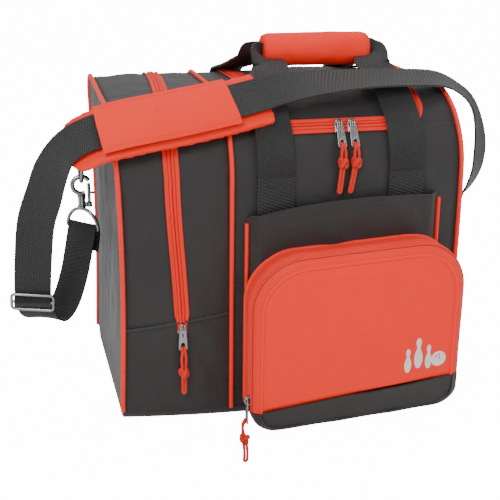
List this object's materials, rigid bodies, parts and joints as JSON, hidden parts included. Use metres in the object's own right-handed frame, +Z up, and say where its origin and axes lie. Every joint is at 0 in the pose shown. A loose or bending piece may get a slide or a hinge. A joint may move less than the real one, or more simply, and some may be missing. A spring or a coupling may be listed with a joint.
{
  "type": "bowling bag",
  "caption": "Soft bowling tote with a ball compartment, a shoe section, a front pocket, a wrapped carry handle and a padded shoulder strap on snap hooks.",
  "frame": {"origin": "middle of the base's footprint, on the floor", "axes": "+X to the bag's right, +Y to its back, +Z up; the base faces -Z"},
  "size_m": [0.5656, 0.3341, 0.396],
  "materials": {
    "black_fabric": "coated woven polyester",
    "orange_fabric": "coated woven polyester",
    "orange_padding": "foam padded polyester",
    "orange_trim": "piping and zip tape",
    "webbing": "ribbed webbing",
    "pull_cord": "braided cord",
    "nickel": "bright nickel plate",
    "inner_foam": "foam and board"
  },
  "bodies": {
    "bag": {"base_panel": "black_fabric", "base_board": "inner_foam", "ball_cup": "inner_foam", "front_panel": "black_fabric", "back_panel": "black_fabric", "left_end_panel": "black_fabric", "right_end_panel": "black_fabric", "divider_panel": "black_fabric", "top_strip_left": "black_fabric", "top_strip_right": "black_fabric", "shoe_front_lower": "black_fabric", "shoe_front_right": "black_fabric", "shoe_top": "black_fabric", "shoe_back": "black_fabric", "shoe_zip": "orange_trim", "piping_left": "orange_trim", "piping_split": "orange_trim", "piping_right": "orange_trim", "slip_panel": "black_fabric", "slip_piping": "orange_trim", "pocket_gusset": "orange_fabric", "pocket_base": "black_fabric", "webbing_front": "webbing", "webbing_rear": "webbing", "ring_tab_left": "webbing", "ring_tab_right": "webbing", "strap_loop": "webbing"},
    "lid": {"lid": "black_fabric", "lid_zip": "orange_trim"},
    "shoe_flap": {"shoe_flap": "black_fabric"},
    "pocket_door": {"pocket_door": "orange_fabric"},
    "handle_front": {"handle_front": "webbing", "grip_front": "orange_padding"},
    "handle_rear": {"handle_rear": "webbing", "grip_rear": "orange_padding"},
    "slider_lid_left": {"slider_lid_left": "nickel"},
    "slider_lid_right": {"slider_lid_right": "nickel"},
    "slider_shoe": {"slider_shoe": "nickel"},
    "slider_pocket": {"slider_pocket": "nickel"},
    "tab_lid_left": {"tab_lid_left": "nickel", "cord_lid_left": "pull_cord"},
    "tab_lid_right": {"tab_lid_right": "nickel", "cord_lid_right": "pull_cord"},
    "tab_shoe": {"tab_shoe": "nickel", "cord_shoe": "pull_cord"},
    "tab_pocket": {"tab_pocket": "nickel", "cord_pocket": "pull_cord"},
    "ring_left": {"ring_left": "nickel"},
    "ring_right": {"ring_right": "nickel"},
    "hook_left": {"hook_left": "nickel", "eye_left": "nickel"},
    "hook_right": {"hook_right": "nickel", "eye_right": "nickel"},
    "bolt_left": {"bolt_left": "nickel"},
    "bolt_right": {"bolt_right": "nickel"},
    "strap": {"strap": "webbing"},
    "pad": {"shoulder_pad": "orange_padding", "pad_sleeve": "orange_padding"},
    "adjuster": {"adjuster": "nickel"}
  },
  "joints": [
    {"name": "lid_hinge", "type": "hinge", "parent": "bag", "child": "lid", "pos_m": [0.057, 0.098, 0.337], "axis": [-1, 0, 0], "range_deg": [0, 100]},
    {"name": "handle_front_swing", "type": "hinge", "parent": "bag", "child": "handle_front", "pos_m": [0.0505, -0.12, 0.268], "axis": [1, 0, 0], "range_deg": [0, 175], "deforming": ["handle_front"]},
    {"name": "handle_rear_swing", "type": "hinge", "parent": "bag", "child": "handle_rear", "pos_m": [0.0505, 0.121, 0.268], "axis": [-1, 0, 0], "range_deg": [0, 175], "deforming": ["handle_rear"]},
    {"name": "strap_swing", "type": "hinge", "parent": "bag", "child": "strap", "pos_m": [0, 0, 0.195], "axis": [-1, 0, 0], "range_deg": [0, 88], "deforming": ["strap", "strap_loop"]},
    {"name": "pad_slide", "type": "slide", "parent": "strap", "child": "pad", "axis": [0.988, 0.06, 0.142], "range_m": [-0.015, 0.015], "deforming": ["shoulder_pad", "pad_sleeve"]},
    {"name": "adjuster_slide", "type": "slide", "parent": "bag", "child": "adjuster", "axis": [0.06, -0.19, 0.98], "range_m": [0, 0.045]},
    {"name": "shoe_flap_hinge", "type": "hinge", "parent": "bag", "child": "shoe_flap", "pos_m": [-0.1746, -0.118, 0.19], "axis": [0, 0, -1], "range_deg": [0, 95]},
    {"name": "shoe_slide", "type": "slide", "parent": "bag", "child": "slider_shoe", "axis": [0, 0, 1], "range_m": [0, 0.14]},
    {"name": "pocket_hinge", "type": "hinge", "parent": "bag", "child": "pocket_door", "pos_m": [0.0605, -0.1705, 0.036], "axis": [1, 0, 0], "range_deg": [0, 88]},
    {"name": "pocket_slide", "type": "slide", "parent": "bag", "child": "slider_pocket", "axis": [0, 0, 1], "range_m": [0, 0.1]},
    {"name": "lid_slide_left", "type": "slide", "parent": "lid", "child": "slider_lid_left", "axis": [-1, 0, 0], "range_m": [0, 0.04]},
    {"name": "lid_slide_right", "type": "slide", "parent": "lid", "child": "slider_lid_right", "axis": [1, 0, 0], "range_m": [0, 0.03]},
    {"name": "tab_lid_left_flip", "type": "hinge", "parent": "slider_lid_left", "child": "tab_lid_left", "pos_m": [0.051, -0.1069, 0.3155], "axis": [-1, 0, 0], "range_deg": [0, 145]},
    {"name": "tab_lid_right_flip", "type": "hinge", "parent": "slider_lid_right", "child": "tab_lid_right", "pos_m": [0.065, -0.1069, 0.3155], "axis": [-1, 0, 0], "range_deg": [0, 145]},
    {"name": "tab_shoe_flip", "type": "hinge", "parent": "slider_shoe", "child": "tab_shoe", "pos_m": [-0.1164, -0.124, 0.114], "axis": [-1, 0, 0], "range_deg": [0, 150]},
    {"name": "tab_pocket_flip", "type": "hinge", "parent": "slider_pocket", "child": "tab_pocket", "pos_m": [-0.057, -0.16, 0.041], "axis": [0, 1, 0], "range_deg": [0, 120]},
    {"name": "ring_left_flap", "type": "hinge", "parent": "bag", "child": "ring_left", "pos_m": [-0.203, 0, 0.262], "axis": [0, 1, 0], "range_deg": [0, 25]},
    {"name": "hook_left_swing", "type": "hinge", "parent": "ring_left", "child": "hook_left", "pos_m": [-0.203, 0, 0.2432], "axis": [0, -1, 0], "range_deg": [0, 30]},
    {"name": "bolt_left_slide", "type": "slide", "parent": "hook_left", "child": "bolt_left", "axis": [0, 0, -1], "range_m": [0, 0.008], "stiffness_N_per_m": 150, "springref_m": -0.003},
    {"name": "ring_right_flap", "type": "hinge", "parent": "bag", "child": "ring_right", "pos_m": [0.203, 0, 0.262], "axis": [0, -1, 0], "range_deg": [0, 25]},
    {"name": "hook_right_swing", "type": "hinge", "parent": "ring_right", "child": "hook_right", "pos_m": [0.203, 0, 0.2432], "axis": [0, 1, 0], "range_deg": [0, 30]},
    {"name": "bolt_right_slide", "type": "slide", "parent": "hook_right", "child": "bolt_right", "axis": [0, 0, -1], "range_m": [0, 0.008], "stiffness_N_per_m": 150, "springref_m": -0.003}
  ],
  "couplings": [
    {"joint": "handle_front_swing", "follows": "lid_hinge", "ratio": 1.75},
    {"joint": "handle_rear_swing", "follows": "lid_hinge", "ratio": 1.75},
    {"joint": "strap_swing", "follows": "lid_hinge", "ratio": 0.88},
    {"joint": "shoe_slide", "follows": "shoe_flap_hinge", "m_per_rad": 0.0844},
    {"joint": "hook_left_swing", "follows": "ring_left_flap", "ratio": 1.2},
    {"joint": "hook_right_swing", "follows": "ring_right_flap", "ratio": 1.2}
  ]
}
